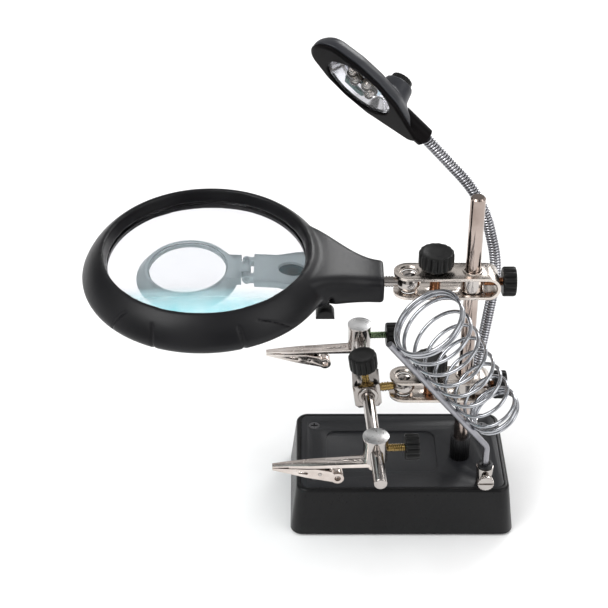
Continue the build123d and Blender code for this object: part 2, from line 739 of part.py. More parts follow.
def clip_upper_jaw(v):
    """Folded upper jaw with its barrel round the post and two ears that hold the pivot pin."""
    top = jaw_line + 2.3
    with BuildPart() as jaw:
        with BuildSketch(over_rod(-10.6, v)):
            Circle(3.7)
        extrude(amount=4.3)
        # side profile of the folded sheet, then narrowed towards the tip
        with BuildSketch(along_rod(v)):
            with BuildLine():
                Polyline((-2.4, top), (-40, top - 0.9), (tip, jaw_line + 0.9), (tip, jaw_line + 0.1),
                         (-2.4, jaw_line + 0.1), close=True)
            make_face()
        extrude(amount=3.3, both=True)
        with BuildSketch(over_rod(jaw_line - 8, v)):
            with BuildLine():
                Polyline((4, -3.7), (4, 3.7), (-5, 3.3), (-30, 2.7), (tip, 1.3),
                         (tip, -1.3), (-30, -2.7), (-5, -3.3), close=True)
            make_face()
        extrude(amount=20, mode=Mode.INTERSECT)
        # hollow under the sheet
        with BuildSketch(along_rod(v)):
            with BuildLine():
                Polyline((-4.4, top - 0.75), (-40, top - 1.65), (-45, jaw_line + 0.3),
                         (-45, jaw_line - 0.5), (-4.4, jaw_line - 0.5), close=True)
            make_face()
        extrude(amount=1.9, both=True, mode=Mode.SUBTRACT)
        with BuildSketch(over_rod(-12, v)):
            Circle(post_radius + running_gap)
        extrude(amount=8, mode=Mode.SUBTRACT)
        # three small holes near the barrel
        with BuildSketch(over_rod(top - 2, v)):
            with Locations((-7, 0), (-9.4, 0), (-12.6, 0)):
                Circle(0.55)
        extrude(amount=4, mode=Mode.SUBTRACT)
        # ears
        for side in (-1, 1):
            with BuildSketch(along_rod(v + side * 1.45)):
                with Locations(jaw_pivot):
                    Circle(1.9)
                with Locations((jaw_pivot[0], (jaw_pivot[1] + top - 1.2) / 2)):
                    Rectangle(3.8, top - 1.2 - jaw_pivot[1])
                with Locations(jaw_pivot):
                    Circle(0.92, mode=Mode.SUBTRACT)
            extrude(amount=0.3, both=True)
    return jaw.part


def clip_lower_jaw(v):
    """Folded lower jaw whose rolled lever end closes the clip's mouth."""
    roll_centre = (tip + 30.2, jaw_line - 6.4)
    with BuildPart() as jaw:
        with BuildSketch(along_rod(v)):
            with BuildLine():
                Polyline((tip, jaw_line - 0.2), (tip + 20, jaw_line - 0.4), (tip + 27.5, jaw_line - 2.4),
                         (tip + 28.6, jaw_line - 3.8), (tip + 28.5, jaw_line - 8.4), (tip, jaw_line - 1.2),
                         close=True)
            make_face()
            with Locations(roll_centre):
                Circle(2.9)
        extrude(amount=2.75, both=True)
        with BuildSketch(over_rod(jaw_line - 12, v)):
            with BuildLine():
                Polyline((tip + 34, -2.75), (tip + 34, 2.75), (tip + 16, 2.75), (tip, 1.3),
                         (tip, -1.3), (tip + 16, -2.75), close=True)
            make_face()
        extrude(amount=14, mode=Mode.INTERSECT)
        # hollow between the two cheeks
        with BuildSketch(along_rod(v)):
            with BuildLine():
                Polyline((tip + 9, jaw_line + 1), (tip + 26.5, jaw_line + 1), (tip + 26.5, jaw_line - 6.8),
                         (tip + 9, jaw_line - 2.6), close=True)
            make_face()
        extrude(amount=2.0, both=True, mode=Mode.SUBTRACT)
        with BuildSketch(along_rod(v)):
            with Locations(jaw_pivot):
                Circle(0.9 + running_gap)
            with Locations((tip + 14.2, jaw_line - 2.5)):
                SlotOverall(4.6, 1.3, rotation=-8)
            with Locations(roll_centre):
                Circle(1.5)
        extrude(amount=4, both=True, mode=Mode.SUBTRACT)
    return jaw.part


def clip_pin(v):
    """Rivet that the lower jaw turns on."""
    with BuildPart() as pin:
        with BuildSketch(along_rod(v)):
            with Locations(jaw_pivot):
                Circle(0.9)
        extrude(amount=2.95, both=True)
    return pin.part


for side_name, place in clip_places.items():
    write_piece(clip_block(place), f"{side_name}_clip_block")
    write_piece(thumb_screw(tuple(rod_frame.from_local_coords((rod_radius + 0.2, place, 0))),
                            tuple(rod_frame.x_dir), 1.85, 13.5 - rod_radius - 0.2, 6.25, 6.5),
                f"{side_name}_block_knob")
    write_piece(clip_upper_jaw(place), f"{side_name}_upper_jaw")
    write_piece(clip_lower_jaw(place), f"{side_name}_lower_jaw")
    write_piece(clip_pin(place), f"{side_name}_clip_pin")

# ---------------------------------------------------------------- soldering iron holder
socket_top = 38.0
socket_radius = 4.0
bush_bore = holder_rod_radius + running_gap
with BuildPart() as iron_socket:
    with BuildSketch(level(base_height)):
        with Locations((socket_x, socket_y)):
            Circle(socket_radius)
    extrude(amount=socket_top - base_height)
    with BuildSketch(level(roof_underside - 4)):
        with Locations((socket_x, socket_y)):
            Circle(2.5)
    extrude(amount=10)
    with BuildSketch(level(socket_top)):
        with Locations((socket_x, socket_y)):
            Circle(2.7 + running_gap)
    extrude(amount=-(socket_top - base_height - 1), mode=Mode.SUBTRACT)
    with BuildSketch(upright(socket_y)):
        with Locations((socket_x, 33.0)):
            Circle(1.3)
    extrude(amount=6, mode=Mode.SUBTRACT)
write_piece(iron_socket.part, "iron_socket")

with BuildPart() as socket_bush:
    with BuildSketch(level(base_height + 1.2)):
        with Locations((socket_x, socket_y)):
            Circle(2.7)
    extrude(amount=socket_top - base_height - 1.2 + 0.3)
    with BuildSketch(level(socket_top + 0.15)):
        with Locations((socket_x, socket_y)):
            Circle(3.8)
    extrude(amount=1.2)
    with BuildSketch(level(base_height + 1)):
        with Locations((socket_x, socket_y)):
            Circle(bush_bore)
    extrude(amount=16, mode=Mode.SUBTRACT)
write_piece(socket_bush.part, "socket_bush")

with BuildPart() as socket_screw:
    with BuildSketch(upright(socket_y - 2.95)):
        with Locations((socket_x, 33.0)):
            Circle(1.25)
    extrude(amount=3.5)
    with BuildSketch(upright(socket_y - 5.4)):
        with Locations((socket_x, 33.0)):
            Circle(3.9)
            with PolarLocations(4.0, 18):
                Circle(0.32, mode=Mode.SUBTRACT)
    extrude(amount=2.4)
    with BuildSketch(upright(socket_y - 7.8)):
        with Locations((socket_x, 33.0)):
            Rectangle(9, 1.0)
    extrude(amount=-0.8, mode=Mode.SUBTRACT)
write_piece(socket_screw.part, "socket_screw")

heading = radians(holder_heading)
slope = radians(holder_slope)
rod_dir = Vector(-cos(slope) * cos(heading), -cos(slope) * sin(heading), sin(slope))
up_side = Vector(sin(slope) * cos(heading), sin(slope) * sin(heading), cos(slope))
across = rod_dir.cross(up_side)
bend_point = Vector(socket_x, socket_y, holder_bend_height)
rod_end = bend_point + rod_dir * holder_length

with BuildPart() as holder_rod:
    with BuildLine() as rod_path:
        FilletPolyline((socket_x, socket_y, base_height + 1.6), tuple(bend_point), tuple(rod_end), radius=6)
    with BuildSketch(Plane(origin=rod_path.line @ 0, z_dir=rod_path.line % 0)):
        Circle(holder_rod_radius)
    sweep()
write_piece(holder_rod.part, "holder_rod")

# conical coil: close turns at the mouth and at the foot, open turns between, resting along the rod
coil_turns = 11.5
mouth_turns = 2.0
foot_turns = 2.5
mouth_along = 85.5
foot_along = 13.0
mouth_mid_radius = 16.8
foot_mid_radius = 11.6
close_pitch = 2 * coil_wire + 0.12


def coil_along(turn):
    """Distance along the sloping rod of the wire's centre after so many turns from the foot."""
    foot_end = foot_along + foot_turns * close_pitch
    mouth_start = mouth_along - mouth_turns * close_pitch
    open_turns = coil_turns - foot_turns - mouth_turns
    if turn < foot_turns:
        return foot_along + turn * close_pitch
    if turn < foot_turns + open_turns:
        return foot_end + (turn - foot_turns) / open_turns * (mouth_start - foot_end)
    return mouth_start + (turn - foot_turns - open_turns) * close_pitch


def coil_point(turn):
    """Centre of the wire after so many turns from the foot, where whole turns touch the rod."""
    along = coil_along(turn)
    share = (along - foot_along) / (mouth_along - foot_along)
    radius = foot_mid_radius + share * (mouth_mid_radius - foot_mid_radius)
    centre = bend_point + rod_dir * along + up_side * (holder_rod_radius + coil_wire + 0.04 + radius)
    angle = 2 * pi * turn
    return centre - up_side * (radius * cos(angle)) + across * (radius * sin(angle))


points_per_turn = 10
with BuildPart() as holder_coil:
    with BuildLine() as wire_path:
        Spline([coil_point(step / points_per_turn) for step in range(int(coil_turns * points_per_turn) + 1)])
    with BuildSketch(Plane(origin=wire_path.line @ 0, z_dir=wire_path.line % 0)):
        Circle(coil_wire)
    sweep(is_frenet=True)
write_piece(holder_coil.part, "holder_coil")

# ---------------------------------------------------------------- gooseneck
hose_start = (gland_x, 34.0)
hose_corners = [hose_start, (44.8, 122.0), (35.0, 160.0), (7.0, 191.5)]
hose_bends = [75.0, 70.0]
gland_top = 33.5

with BuildPart() as hose_gland:
    with BuildSketch(level(base_height)):
        with Locations((gland_x, hose_y)):
            RegularPolygon(6.0, 6)
    extrude(amount=3)
    with BuildSketch(level(base_height + 3)):
        with Locations((gland_x, hose_y)):
            Circle(4.6)
    extrude(amount=gland_top - base_height - 3, taper=8)
    with BuildSketch(level(roof_underside - 4)):
        with Locations((gland_x, hose_y)):
            Circle(3.0)
    extrude(amount=10)
    with BuildSketch(level(roof_underside - 4)):
        with Locations((gland_x, hose_y)):
            Circle(1.6)
    extrude(amount=15, mode=Mode.SUBTRACT)
write_piece(hose_gland.part, "hose_gland")

with BuildLine() as hose_line:
    FilletPolyline(*[(x, hose_y, z) for x, z in hose_corners], radius=hose_bends)
hose_wire = hose_line.wire()
hose_joints = [0.0, 0.34, 0.66, 1.0]    # shares of the hose's length where it may bend


def hose_piece(start, end):
    """Stretch of the hose between two shares of its length, clear of its ends by half the gap."""
    half_gap = hose_gap / 2 / hose_wire.length
    trimmed = hose_wire.trim(start + half_gap, end - half_gap)
    with BuildPart() as stretch:
        with BuildLine():
            add(trimmed)
        with BuildSketch(Plane(origin=trimmed @ 0, z_dir=trimmed % 0)):
            Circle(hose_radius)
            Circle(1.5, mode=Mode.SUBTRACT)
        sweep()
    return stretch.part


for index, hose_name in enumerate(("hose_lower", "hose_middle", "hose_upper")):
    write_piece(hose_piece(hose_joints[index], hose_joints[index + 1]), hose_name)

# ---------------------------------------------------------------- lamp head
lamp_rise = 45.9
lamp_turn = 45.0            # how far the window is turned from straight down towards the front
rise = radians(lamp_rise)
turn = radians(lamp_turn)
lamp_dir = Vector(-cos(rise), 0, sin(rise))
lamp_down = Vector(-sin(rise), 0, -cos(rise))
lamp_normal = lamp_down * cos(turn) + Vector(0, -1, 0) * sin(turn)
hose_end = Vector(hose_corners[-1][0], hose_y, hose_corners[-1][1])
lamp_tail = 31.0            # tail's distance behind the middle of the head
lamp_lift = 3.4             # seam's distance from the tail's axis
lamp_offset = 1.2           # how far the head sits to one side of the tail, away from the front
lamp_middle = (hose_end + lamp_dir * (lamp_tail + 0.6) + lamp_normal * lamp_lift
               + lamp_normal.cross(lamp_dir) * lamp_offset)
lamp_plane = Plane(origin=lamp_middle, x_dir=lamp_dir, z_dir=lamp_normal)
window_x = 8.9
window_half_length = 17.6
window_half_width = 11.8
head_circles = [(26.4, 10.9), (17.0, 13.4), (8.0, 13.9), (-2.0, 12.5)]
lower_circles = head_circles + [(-24.0, 4.2)]
upper_circles = head_circles + [(-16.5, 6.6)]
tail_radius = 4.6
tail_length = 16.0
boss_x = -6.6


def lamp_outline(circles, offset_height, inset):
    """Leaf-shaped outline of the head on a plane beside the seam, moved in by inset."""
    with BuildSketch(lamp_plane.offset(offset_height)) as outline:
        for x, radius in circles:
            with Locations((x, 0)):
                Circle(max(radius - inset, 1.2))
        make_hull()
    return outline.sketch


def lamp_oval(offset_height, inset):
    """Oval of the window on a plane beside the seam, moved in by inset."""
    with BuildSketch(lamp_plane.offset(offset_height)) as oval:
        with Locations((window_x, 0)):
            Ellipse(window_half_length - inset, window_half_width - inset)
    return oval.sketch


tail_plane = Plane(origin=hose_end + lamp_dir * 0.6, z_dir=lamp_dir)
with BuildPart() as lamp_lower_shell:
    add(lamp_outline(lower_circles, 0.15, 0))
    add(lamp_outline(lower_circles, 0.9, 0.2))
    add(lamp_outline(lower_circles, 1.6, 1.3))
    loft(ruled=True)
    with BuildSketch(tail_plane):
        Circle(tail_radius)
    extrude(amount=tail_length)
    extrude(lamp_oval(-0.5, 0), amount=5, dir=lamp_normal, mode=Mode.SUBTRACT)
write_piece(lamp_lower_shell.part, "lamp_lower_shell")

with BuildPart() as lamp_upper_shell:
    add(lamp_outline(upper_circles, -0.15, 0))
    add(lamp_outline(upper_circles, -3.6, 0.8))
    add(lamp_outline(upper_circles, -6.6, 3.2))
    add(lamp_outline(upper_circles, -8.0, 6.2))
    loft(ruled=True)
    # boss of the push switch
    with BuildSketch(lamp_plane.offset(-4.5)):
        with Locations((boss_x, 0)):
            Circle(8.2)
    extrude(amount=-9.6, taper=8)
    with BuildSketch(lamp_plane.offset(-14.2)):
        with Locations((boss_x, 0)):
            Circle(5.2)
    extrude(amount=3.6, mode=Mode.SUBTRACT)
    # room for the reflector, and for the round tail
    add(lamp_oval(-0.1, 0))
    add(lamp_oval(-6.2, 3.4))
    loft(mode=Mode.SUBTRACT)
    with BuildSketch(tail_plane):
        Circle(tail_radius + 0.1)
    extrude(amount=tail_length + 0.1, mode=Mode.SUBTRACT)
write_piece(lamp_upper_shell.part, "lamp_upper_shell")

with BuildPart() as lamp_switch:
    with BuildSketch(lamp_plane.offset(-17.2)):
        with Locations((boss_x, 0)):
            Circle(5.05)
            with PolarLocations(5.25, 20):
                Circle(0.4, mode=Mode.SUBTRACT)
    extrude(amount=4.9)
write_piece(lamp_switch.part, "lamp_switch")

with BuildPart() as lamp_reflector:
    add(lamp_oval(-0.6, 0.5))
    add(lamp_oval(-5.9, 3.9))
    loft()
    add(lamp_oval(-0.5, 1.2))
    add(lamp_oval(-5.0, 4.7))
    loft(mode=Mode.SUBTRACT)
write_piece(lamp_reflector.part, "lamp_reflector")

with BuildPart() as lamp_leds:
    for x, y in ((2.6, 1.6), (6.9, -1.6), (11.2, 1.6), (15.2, -1.6)):
        with BuildSketch(lamp_plane.offset(-4.9)):
            with Locations((x, y)):
                Circle(2.1)
        extrude(amount=2.0)
        with Locations(lamp_plane * Pos(x, y, -2.9)):
            Sphere(2.1)
write_piece(lamp_leds.part, "lamp_leds")

with BuildPart() as lamp_window:
    extrude(lamp_oval(-0.4, 0.25), amount=0.9, dir=lamp_normal)
write_piece(lamp_window.part, "lamp_window")
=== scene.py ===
"""Looks for the bench magnifier with helping hands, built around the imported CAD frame. Metres."""
import json
from math import cos, pi, radians, sin, tan

import bmesh
import bpy
import numpy as np
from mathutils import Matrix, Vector


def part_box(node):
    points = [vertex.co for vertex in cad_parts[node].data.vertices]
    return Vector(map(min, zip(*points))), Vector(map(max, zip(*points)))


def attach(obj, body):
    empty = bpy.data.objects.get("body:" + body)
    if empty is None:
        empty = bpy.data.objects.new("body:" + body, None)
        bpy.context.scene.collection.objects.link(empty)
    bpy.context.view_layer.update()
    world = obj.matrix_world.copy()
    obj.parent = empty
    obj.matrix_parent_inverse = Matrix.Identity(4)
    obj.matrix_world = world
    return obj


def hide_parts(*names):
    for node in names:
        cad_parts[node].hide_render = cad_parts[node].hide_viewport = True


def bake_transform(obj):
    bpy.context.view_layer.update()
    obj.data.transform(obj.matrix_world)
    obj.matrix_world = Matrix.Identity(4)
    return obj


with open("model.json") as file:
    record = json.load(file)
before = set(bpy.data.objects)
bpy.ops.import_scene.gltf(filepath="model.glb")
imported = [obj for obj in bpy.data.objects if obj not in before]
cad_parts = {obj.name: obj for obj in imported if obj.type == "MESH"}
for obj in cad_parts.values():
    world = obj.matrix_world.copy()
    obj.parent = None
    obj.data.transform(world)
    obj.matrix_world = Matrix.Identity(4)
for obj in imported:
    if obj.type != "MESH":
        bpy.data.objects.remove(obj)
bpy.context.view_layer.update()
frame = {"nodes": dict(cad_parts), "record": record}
nodes = frame["nodes"]
record = frame["record"]
MM = 0.001
node_body = {n: b for b, members in record["behaviour"]["bodies"].items() for n in members}
joints = {j["name"]: j for j in record["behaviour"]["joints"]}
WELD = 2e-6            # vertices nearer than this are joined
PLASTIC_GRAIN = 6e-5   # height of the grain's bumps
METAL_GRAIN = 5e-5

# ------------------------------------------------------------------ camera, light
# The place, angle and lens are fitted to the photo: the base's corners, the pole and the main lens.
camera = bpy.data.objects.new("camera", bpy.data.cameras.new("camera"))
bpy.context.collection.objects.link(camera)
camera.location = (-0.0483, -0.5844, 0.5099)
camera.rotation_euler = (radians(56), 0, 0)
camera.data.lens = 88.8
camera.data.sensor_width = 36
camera.data.clip_end = 20
bpy.context.scene.camera = camera
bpy.context.scene.view_settings.view_transform = "Standard"


def nodes_of(tree):
    """Clear a node tree and return shortcuts to make and join nodes."""
    tree.nodes.clear()

    def make(kind, **values):
        node = tree.nodes.new(kind)
        for key, value in values.items():
            setattr(node, key, value)
        return node

    return make, tree.links.new


def grey_ramp(make, ends, stops, tint=(1, 1, 1)):
    """Ramp of greys: ends gives the first and last level, stops the positions and levels between them."""
    ramp = make("ShaderNodeValToRGB")
    for element, position, level in zip(ramp.color_ramp.elements, (0.0, 1.0), ends):
        element.position = position
        element.color = (level, level, level, 1)
    for position, level in stops:
        stop = ramp.color_ramp.elements.new(position)
        stop.color = (*(level * part for part in tint), 1)
    return ramp


# Pale and dark cards stand round the object, and only mirrored rays meet them. Everything else is
# lit by an even white. card_stops pair a share of a full turn with a level, and roof_stops pair the
# upward part of the ray with a level.
card_stops = ((0.06, 0.85), (0.08, 0.05), (0.16, 0.04), (0.18, 1.0), (0.24, 1.0), (0.26, 0.06),
              (0.34, 0.05), (0.36, 1.0), (0.42, 0.9), (0.44, 0.06), (0.52, 0.06), (0.55, 0.95),
              (0.64, 0.9), (0.67, 0.10), (0.74, 0.10), (0.77, 0.9), (0.85, 0.5), (0.90, 0.12),
              (0.95, 0.12))
roof_stops = ((0.45, 0.0), (0.55, 0.85), (0.72, 0.95), (0.80, 0.2))

world = bpy.data.worlds.new("studio")
bpy.context.scene.world = world
world.use_nodes = True
make, join = nodes_of(world.node_tree)
direction = make("ShaderNodeTexCoord")
split = make("ShaderNodeSeparateXYZ")
join(direction.outputs["Generated"], split.inputs[0])
turn = make("ShaderNodeMath", operation="ARCTAN2")
join(split.outputs["Y"], turn.inputs[0])
join(split.outputs["X"], turn.inputs[1])
turn_share = make("ShaderNodeMapRange")
turn_share.inputs["From Min"].default_value = -pi
turn_share.inputs["From Max"].default_value = pi
join(turn.outputs[0], turn_share.inputs["Value"])
standing = grey_ramp(make, (0.8, 0.8), card_stops, (1, 0.99, 0.985))
join(turn_share.outputs[0], standing.inputs[0])
overhead = grey_ramp(make, (0.0, 0.25), roof_stops)
join(split.outputs["Z"], overhead.inputs[0])
cards = make("ShaderNodeMix", data_type="RGBA", blend_type="LIGHTEN")
cards.inputs["Factor"].default_value = 1.0
join(standing.outputs[0], cards.inputs["A"])
join(overhead.outputs[0], cards.inputs["B"])
mirrored = make("ShaderNodeBackground")
mirrored.inputs["Strength"].default_value = 0.8
join(cards.outputs["Result"], mirrored.inputs["Color"])
plain = make("ShaderNodeBackground")
plain.inputs["Color"].default_value = (1, 1, 1, 1)
plain.inputs["Strength"].default_value = 0.9
ray = make("ShaderNodeLightPath")
sky = make("ShaderNodeMixShader")
join(ray.outputs["Is Glossy Ray"], sky.inputs[0])
join(plain.outputs[0], sky.inputs[1])
join(mirrored.outputs[0], sky.inputs[2])
out = make("ShaderNodeOutputWorld")
join(sky.outputs[0], out.inputs[0])


def softbox(name, location, size, power):
    """Square soft light aimed at the middle of the stand."""
    light = bpy.data.objects.new(name, bpy.data.lights.new(name, "AREA"))
    bpy.context.collection.objects.link(light)
    light.location = location
    light.data.size = size
    light.data.energy = power
    aim = Vector((-0.02, 0, 0.08))
    light.rotation_euler = (aim - Vector(location)).to_track_quat("-Z", "Y").to_euler()


softbox("key_light", (-0.9, -0.7, 1.3), 0.9, 14)
softbox("fill_light", (1.2, -0.6, 0.9), 1.0, 6)
softbox("back_light", (0.6, 1.0, 0.75), 0.5, 6)

# ------------------------------------------------------------------ materials


def surface(name):
    """New material: returns it with its node maker, its linker and its Principled shader."""
    material = bpy.data.materials.new(name)
    material.use_nodes = True
    make, join = nodes_of(material.node_tree)
    shader = make("ShaderNodeBsdfPrincipled")
    out = make("ShaderNodeOutputMaterial")
    join(shader.outputs[0], out.inputs[0])
    return material, make, join, shader


def noise_field(make, join, scale, detail=3.0, rough=0.55, stretch=(1, 1, 1)):
    """Noise over the object's own coordinates, as a value output."""
    where = make("ShaderNodeTexCoord")
    mapping = make("ShaderNodeMapping")
    mapping.inputs["Scale"].default_value = stretch
    join(where.outputs["Object"], mapping.inputs["Vector"])
    field = make("ShaderNodeTexNoise")
    field.inputs["Scale"].default_value = scale
    field.inputs["Detail"].default_value = detail
    field.inputs["Roughness"].default_value = rough
    join(mapping.outputs[0], field.inputs["Vector"])
    return field.outputs["Fac"]


def ranged(make, join, value, low, high, start=0.3, end=0.7):
    """Value between start and end mapped onto low to high."""
    step = make("ShaderNodeMapRange")
    step.inputs["From Min"].default_value = start
    step.inputs["From Max"].default_value = end
    step.inputs["To Min"].default_value = low
    step.inputs["To Max"].default_value = high
    join(value, step.inputs["Value"])
    return step.outputs[0]


def two_colours(make, join, factor, first, second):
    """Mix of two colours by a factor, as a colour output."""
    mix = make("ShaderNodeMix", data_type="RGBA")
    mix.inputs["A"].default_value = (*first, 1)
    mix.inputs["B"].default_value = (*second, 1)
    join(factor, mix.inputs["Factor"])
    return mix.outputs["Result"]


def drifting(make, join, socket, cloud, first, second):
    """Colour on a socket that drifts between two colours with the noise."""
    join(two_colours(make, join, ranged(make, join, cloud, 0, 1), first, second), socket)


def bumped(make, join, shader, value, strength, distance):
    """Bump on a shader from a height value."""
    bump = make("ShaderNodeBump")
    bump.inputs["Strength"].default_value = strength
    bump.inputs["Distance"].default_value = distance
    join(value, bump.inputs["Height"])
    join(bump.outputs[0], shader.inputs["Normal"])


def plastic(name, colour, lighter, rough, grain=2200, depth=0.25, shine=0.2, ior=1.5):
    """Moulded plastic with a fine grain, slightly uneven gloss and colour."""
    material, make, join, shader = surface(name)
    drifting(make, join, shader.inputs["Base Color"], noise_field(make, join, 35, 2), colour, lighter)
    fine = noise_field(make, join, grain, 2)
    join(ranged(make, join, fine, rough - 0.06, rough + 0.08), shader.inputs["Roughness"])
    bumped(make, join, shader, fine, depth, PLASTIC_GRAIN)
    shader.inputs["Specular IOR Level"].default_value = shine
    shader.inputs["IOR"].default_value = ior
    return material


def metal(name, colour, darker, rough, grain=900, depth=0.08, stretch=(1, 1, 1)):
    """Plated metal with faint handling marks and a tint that drifts."""
    material, make, join, shader = surface(name)
    drifting(make, join, shader.inputs["Base Color"], noise_field(make, join, 60, 3), colour, darker)
    fine = noise_field(make, join, grain, 4, 0.6, stretch)
    join(ranged(make, join, fine, max(rough - 0.05, 0.03), rough + 0.07), shader.inputs["Roughness"])
    bumped(make, join, shader, fine, depth, METAL_GRAIN)
    shader.inputs["Metallic"].default_value = 1.0
    return material


def clear(name, tint, rough=0.0, ior=1.45, weight=1.0):
    """Clear or frosted plastic or glass with faint marks."""
    material, make, join, shader = surface(name)
    duller = tuple(c * 0.97 for c in tint)
    drifting(make, join, shader.inputs["Base Color"], noise_field(make, join, 80, 2), tint, duller)
    marks = noise_field(make, join, 300, 2)
    join(ranged(make, join, marks, rough, rough + 0.015), shader.inputs["Roughness"])
    shader.inputs["Transmission Weight"].default_value = weight
    shader.inputs["IOR"].default_value = ior
    return material


frame_black = plastic("satin_black_shell", (0.0045, 0.0045, 0.0055), (0.007, 0.007, 0.0085), 0.36,
                      shine=0.24)
base_black = plastic("base_moulding", (0.0045, 0.0045, 0.005), (0.0065, 0.0065, 0.007), 0.32,
                     1800, 0.12, 0.2)
base_grey = plastic("base_plate", (0.014, 0.0145, 0.0165), (0.019, 0.0195, 0.022), 0.42, 1500, 0.45, 0.22)
knob_black = plastic("knob_moulding", (0.004, 0.004, 0.004), (0.008, 0.008, 0.008), 0.42, 2600, 0.4, 0.22)
rubber_black = plastic("rubber", (0.012, 0.012, 0.012), (0.018, 0.018, 0.018), 0.75, 1200, 0.6)
inner_grey = plastic("inner_moulding", (0.03, 0.03, 0.032), (0.045, 0.045, 0.046), 0.55)
lamp_slate = plastic("lamp_cover", (0.016, 0.017, 0.022), (0.024, 0.0255, 0.031), 0.40, 2400, 0.3, 0.4)
lamp_dark = plastic("lamp_body", (0.003, 0.0026, 0.0028), (0.006, 0.005, 0.0055), 0.34, 2400, 0.2, 0.3,
                    1.16)
teal = plastic("led_seat", (0.01, 0.05, 0.06), (0.02, 0.08, 0.09), 0.35, 900, 0.3, 0.4)
board_green = plastic("lamp_board", (0.02, 0.10, 0.09), (0.05, 0.16, 0.14), 0.4, 900, 0.5, 0.4)
led_brown = plastic("led_seat_brown", (0.04, 0.03, 0.018), (0.10, 0.08, 0.05), 0.35, 900, 0.4, 0.5)
oxide_black = metal("black_oxide", (0.05, 0.05, 0.052), (0.03, 0.03, 0.032), 0.42)
screw_steel = metal("dark_screw", (0.16, 0.16, 0.165), (0.09, 0.09, 0.095), 0.28)
nickel = metal("nickel", (0.52, 0.49, 0.47), (0.36, 0.33, 0.31), 0.14)
nickel_strip = metal("nickel_strip", (0.70, 0.64, 0.59), (0.49, 0.44, 0.40), 0.24, 500, 0.12)
pole_metal = metal("pole_chrome", (0.50, 0.42, 0.38), (0.30, 0.24, 0.21), 0.10, 700, 0.05, (1, 1, 0.05))
wire_chrome = metal("wire_chrome", (0.50, 0.51, 0.54), (0.34, 0.35, 0.37), 0.10)
rod_grey = metal("rod_satin", (0.36, 0.36, 0.385), (0.24, 0.24, 0.26), 0.30)
jaw_metal = metal("jaw_nickel", (0.78, 0.72, 0.68), (0.52, 0.45, 0.41), 0.22, 700, 0.2)
# Near-white metal for the domed tops of the clip blocks: a painted highlight.
painted_highlight_cap = metal("clip_top_painted_highlight", (0.95, 0.95, 0.95), (0.30, 0.30, 0.30), 0.3, 520, 0.9)
copper = metal("copper_screw", (0.30, 0.14, 0.07), (0.17, 0.07, 0.035), 0.26)
brass = metal("brass_screw", (0.42, 0.29, 0.11), (0.25, 0.17, 0.06), 0.26)
green_brass = metal("green_brass_screw", (0.20, 0.27, 0.16), (0.10, 0.15, 0.08), 0.26)
hose_metal = metal("hose_metal", (0.52, 0.52, 0.55), (0.34, 0.34, 0.36), 0.20)
# Dark metal for the winding's valleys: painted shade in the grooves between the turns.
hose_groove_painted_shade = metal("hose_groove_painted_shade", (0.06, 0.06, 0.065), (0.03, 0.03, 0.035), 0.4)
mirror = metal("reflector_mirror", (0.90, 0.90, 0.93), (0.80, 0.80, 0.84), 0.14, 300, 0.3)
iron_grey = metal("ballast_casting", (0.16, 0.16, 0.16), (0.10, 0.10, 0.10), 0.6, 400, 0.8)
small_lens_glass = clear("small_lens_glass", (0.96, 0.98, 0.99), 0.0, 1.3)
lens_glass = clear("lens_glass", (0.86, 0.855, 0.88), 0.0, 1.34)
led_glass = clear("led_glass", (1.0, 0.99, 0.94), 0.05, 1.5)
window_clear = clear("lamp_window_clear", (0.97, 0.97, 0.98), 0.0, 1.15)
frosted = clear("frosted_arm", (0.60, 0.70, 0.715), 0.42, 1.3, 0.5)

# ------------------------------------------------------------------ floor
floor_mesh = bpy.data.meshes.new("floor")
floor_mesh.from_pydata([(-4, -4, 0), (4, -4, 0), (4, 4, 0), (-4, 4, 0)], [], [(0, 1, 2, 3)])
floor = bpy.data.objects.new("floor", floor_mesh)
floor.location.z = -0.0002  # just under the pad, so that the two faces don't share a plane
bpy.context.collection.objects.link(floor)
floor_paint = plastic("floor_paint", (0.86, 0.86, 0.86), (0.88, 0.88, 0.88), 0.7, 30, 0.02, 0.1)
floor.data.materials.append(floor_paint)

# ------------------------------------------------------------------ helpers for pieces


def add_piece(name, mesh, body, materials, smooth_angle=40):
    """Object from a mesh, riding on a body if one is given."""
    mesh.shade_smooth()
    mesh.set_sharp_from_angle(angle=radians(smooth_angle))
    obj = bpy.data.objects.new(name, mesh)
    bpy.context.collection.objects.link(obj)
    for material in materials:
        mesh.materials.append(material)
    if body:
        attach(obj, body)
    return obj


def stands_for(obj, node):
    """The piece stands for a CAD node, which is hidden."""
    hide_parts(node)


def finish_node(node, material):
    """Give a CAD node its finish."""
    mesh = nodes[node].data
    mesh.materials.clear()
    mesh.materials.append(material)


def edged(node, material, width):
    """Copy of a CAD node with its sharp edges rounded by a width in mm, standing for the node."""
    flat_angle, sharp_angle = 1.5, 32
    bm = bmesh.new()
    bm.from_mesh(nodes[node].data)
    bmesh.ops.remove_doubles(bm, verts=bm.verts, dist=WELD)
    bmesh.ops.dissolve_limit(bm, angle_limit=radians(flat_angle), verts=bm.verts, edges=bm.edges)
    sharp = [e for e in bm.edges
             if len(e.link_faces) == 2 and e.calc_face_angle(0) > radians(sharp_angle)]
    bmesh.ops.bevel(bm, geom=sharp, offset=width * MM, segments=2, profile=0.5, affect="EDGES",
                    clamp_overlap=True)
    mesh = bpy.data.meshes.new(node + "_piece")
    bm.to_mesh(mesh)
    bm.free()
    stands_for(add_piece(node + "_piece", mesh, node_body[node], [material], 42), node)


